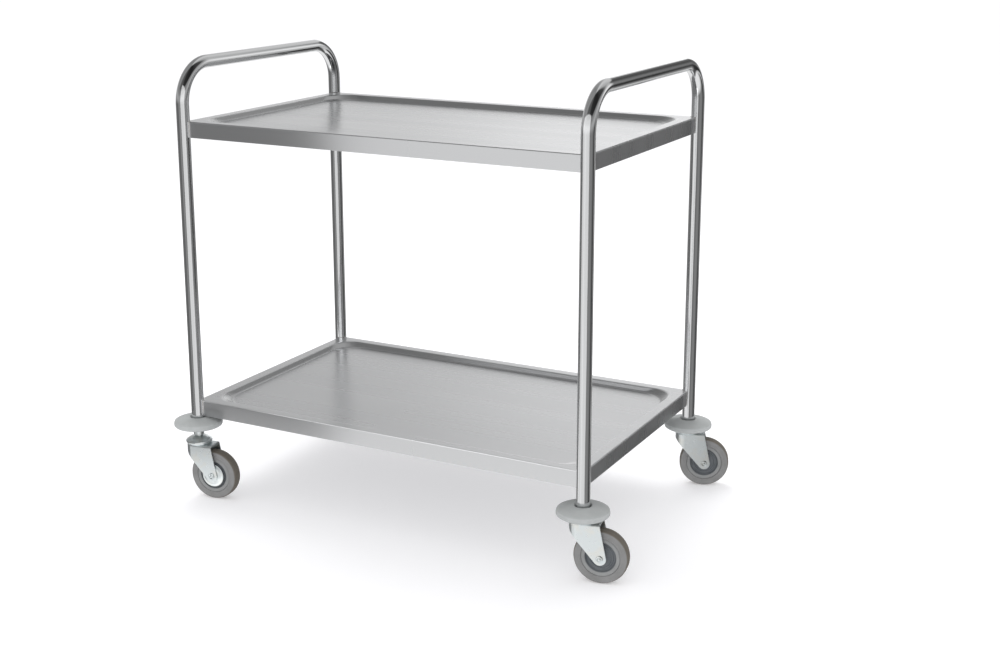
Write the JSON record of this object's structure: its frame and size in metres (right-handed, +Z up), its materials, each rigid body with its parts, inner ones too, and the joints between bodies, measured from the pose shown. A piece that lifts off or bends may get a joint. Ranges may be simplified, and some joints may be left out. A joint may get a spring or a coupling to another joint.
{
  "type": "instrument cart",
  "caption": "Wheeled instrument cart: bent round-tube end frames with handle bars, two pressed steel trays, round bumper rings and swivel casters.",
  "frame": {"origin": "on the floor, under the middle of the cart's box at rest", "axes": "+X along the long side towards the end that the casters trail to, -Y the front, +Z up"},
  "size_m": [0.9832, 0.6146, 0.8837],
  "materials": {
    "polished_steel": "polished",
    "brushed_steel": "satin, fine lengthwise brushing",
    "zinc_plate": "bright zinc plated",
    "bumper_rubber": "matte",
    "tyre_rubber": "matte",
    "hub_plastic": "satin"
  },
  "bodies": {
    "frame": {"left_tube_hoop": "polished_steel", "right_tube_hoop": "polished_steel", "upper_tray": "brushed_steel", "upper_tray_stiffener": "brushed_steel", "lower_tray": "brushed_steel", "lower_tray_stiffener": "brushed_steel", "front_left_stem_sleeve": "zinc_plate", "front_left_swivel_cup": "zinc_plate", "front_left_king_pin": "zinc_plate", "front_left_ball_race": "zinc_plate", "front_right_stem_sleeve": "zinc_plate", "front_right_swivel_cup": "zinc_plate", "front_right_king_pin": "zinc_plate", "front_right_ball_race": "zinc_plate", "rear_left_stem_sleeve": "zinc_plate", "rear_left_swivel_cup": "zinc_plate", "rear_left_king_pin": "zinc_plate", "rear_left_ball_race": "zinc_plate", "rear_right_stem_sleeve": "zinc_plate", "rear_right_swivel_cup": "zinc_plate", "rear_right_king_pin": "zinc_plate", "rear_right_ball_race": "zinc_plate"},
    "front_left_swivel": {"front_left_fork": "zinc_plate", "front_left_axle_bolt": "zinc_plate", "front_left_axle_nut": "zinc_plate", "front_left_outer_cover": "zinc_plate", "front_left_inner_cover": "zinc_plate"},
    "front_left_wheel": {"front_left_wheel_hub": "hub_plastic", "front_left_tyre": "tyre_rubber"},
    "front_left_bumper": {"front_left_bumper_ring": "bumper_rubber"},
    "front_right_swivel": {"front_right_fork": "zinc_plate", "front_right_axle_bolt": "zinc_plate", "front_right_axle_nut": "zinc_plate", "front_right_outer_spacer": "zinc_plate", "front_right_inner_spacer": "zinc_plate"},
    "front_right_wheel": {"front_right_wheel_hub": "hub_plastic", "front_right_tyre": "tyre_rubber"},
    "front_right_bumper": {"front_right_bumper_ring": "bumper_rubber"},
    "rear_left_swivel": {"rear_left_fork": "zinc_plate", "rear_left_axle_bolt": "zinc_plate", "rear_left_axle_nut": "zinc_plate", "rear_left_outer_spacer": "zinc_plate", "rear_left_inner_spacer": "zinc_plate"},
    "rear_left_wheel": {"rear_left_wheel_hub": "hub_plastic", "rear_left_tyre": "tyre_rubber"},
    "rear_left_bumper": {"rear_left_bumper_ring": "bumper_rubber"},
    "rear_right_swivel": {"rear_right_fork": "zinc_plate", "rear_right_axle_bolt": "zinc_plate", "rear_right_axle_nut": "zinc_plate", "rear_right_outer_spacer": "zinc_plate", "rear_right_inner_spacer": "zinc_plate"},
    "rear_right_wheel": {"rear_right_wheel_hub": "hub_plastic", "rear_right_tyre": "tyre_rubber"},
    "rear_right_bumper": {"rear_right_bumper_ring": "bumper_rubber"}
  },
  "joints": [
    {"name": "front_left_swivel_turn", "type": "hinge", "parent": "frame", "child": "front_left_swivel", "pos_m": [-0.44329, -0.259, 0.113], "axis": [0, 0, 1], "continuous": true},
    {"name": "front_left_wheel_spin", "type": "hinge", "parent": "front_left_swivel", "child": "front_left_wheel", "pos_m": [-0.40864, -0.25412, 0.05], "axis": [-0.1395, 0.9902, 0], "continuous": true},
    {"name": "front_left_bumper_slide", "type": "slide", "parent": "frame", "child": "front_left_bumper", "axis": [0, 0, 1], "range_m": [-0.027, 0.001]},
    {"name": "front_right_swivel_turn", "type": "hinge", "parent": "frame", "child": "front_right_swivel", "pos_m": [0.40671, -0.259, 0.113], "axis": [0, 0, 1], "continuous": true},
    {"name": "front_right_wheel_spin", "type": "hinge", "parent": "front_right_swivel", "child": "front_right_wheel", "pos_m": [0.44108, -0.25239, 0.05], "axis": [-0.1889, 0.982, 0], "continuous": true},
    {"name": "front_right_bumper_slide", "type": "slide", "parent": "frame", "child": "front_right_bumper", "axis": [0, 0, 1], "range_m": [0, 0.028]},
    {"name": "rear_left_swivel_turn", "type": "hinge", "parent": "frame", "child": "rear_left_swivel", "pos_m": [-0.44329, 0.259, 0.113], "axis": [0, 0, 1], "continuous": true},
    {"name": "rear_left_wheel_spin", "type": "hinge", "parent": "rear_left_swivel", "child": "rear_left_wheel", "pos_m": [-0.40938, 0.26766, 0.05], "axis": [-0.2474, 0.9689, 0], "continuous": true},
    {"name": "rear_left_bumper_slide", "type": "slide", "parent": "frame", "child": "rear_left_bumper", "axis": [0, 0, 1], "range_m": [0, 0.028]},
    {"name": "rear_right_swivel_turn", "type": "hinge", "parent": "frame", "child": "rear_right_swivel", "pos_m": [0.40671, 0.259, 0.113], "axis": [0, 0, 1], "continuous": true},
    {"name": "rear_right_wheel_spin", "type": "hinge", "parent": "rear_right_swivel", "child": "rear_right_wheel", "pos_m": [0.43959, 0.271, 0.05], "axis": [-0.3429, 0.9394, 0], "continuous": true},
    {"name": "rear_right_bumper_slide", "type": "slide", "parent": "frame", "child": "rear_right_bumper", "axis": [0, 0, 1], "range_m": [0, 0.028]}
  ]
}
